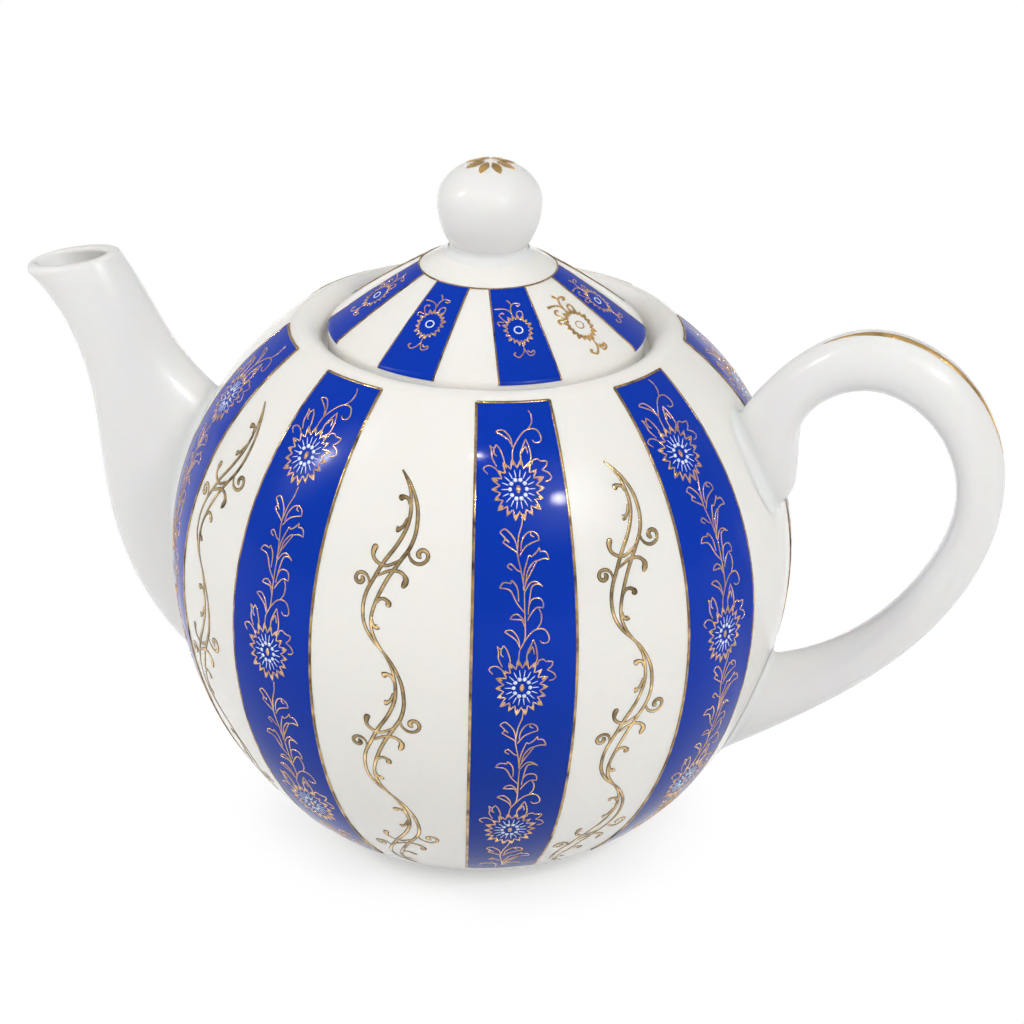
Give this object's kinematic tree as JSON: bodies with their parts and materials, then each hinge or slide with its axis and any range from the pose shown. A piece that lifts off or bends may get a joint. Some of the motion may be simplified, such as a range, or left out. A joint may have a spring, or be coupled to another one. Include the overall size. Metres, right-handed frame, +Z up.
{
  "type": "teapot",
  "caption": "Globe-shaped porcelain teapot with a curved spout, an ear handle and a domed lid that lifts off by its knob, striped in cobalt and gilded.",
  "frame": {"origin": "centre of the foot ring, on the table", "axes": "+Z up through the knob, +X towards the handle, the spout towards -X"},
  "size_m": [0.2195, 0.136, 0.1546],
  "materials": {
    "porcelain": "clear gloss glaze over white porcelain",
    "cobalt": "gloss cobalt-blue enamel transfer",
    "gilt": "fired bright gold"
  },
  "bodies": {
    "pot": {"pot_body": "porcelain", "spout": "porcelain", "handle": "porcelain", "body_stripe_1": "cobalt", "body_stripe_2": "cobalt", "body_stripe_3": "cobalt", "body_stripe_4": "cobalt", "body_stripe_5": "cobalt", "body_stripe_6": "cobalt", "body_stripe_7": "cobalt", "body_stripe_8": "cobalt"},
    "lid": {"lid": "porcelain", "lid_knob": "porcelain", "knob_rosette": "gilt", "lid_stripe_1": "cobalt", "lid_stripe_2": "cobalt", "lid_stripe_3": "cobalt", "lid_stripe_4": "cobalt", "lid_stripe_5": "cobalt", "lid_stripe_6": "cobalt", "lid_stripe_7": "cobalt"}
  },
  "joints": [
    {"name": "lid_lift", "type": "slide", "parent": "pot", "child": "lid", "axis": [0, 0, 1], "range_m": [0, 0.06]}
  ]
}
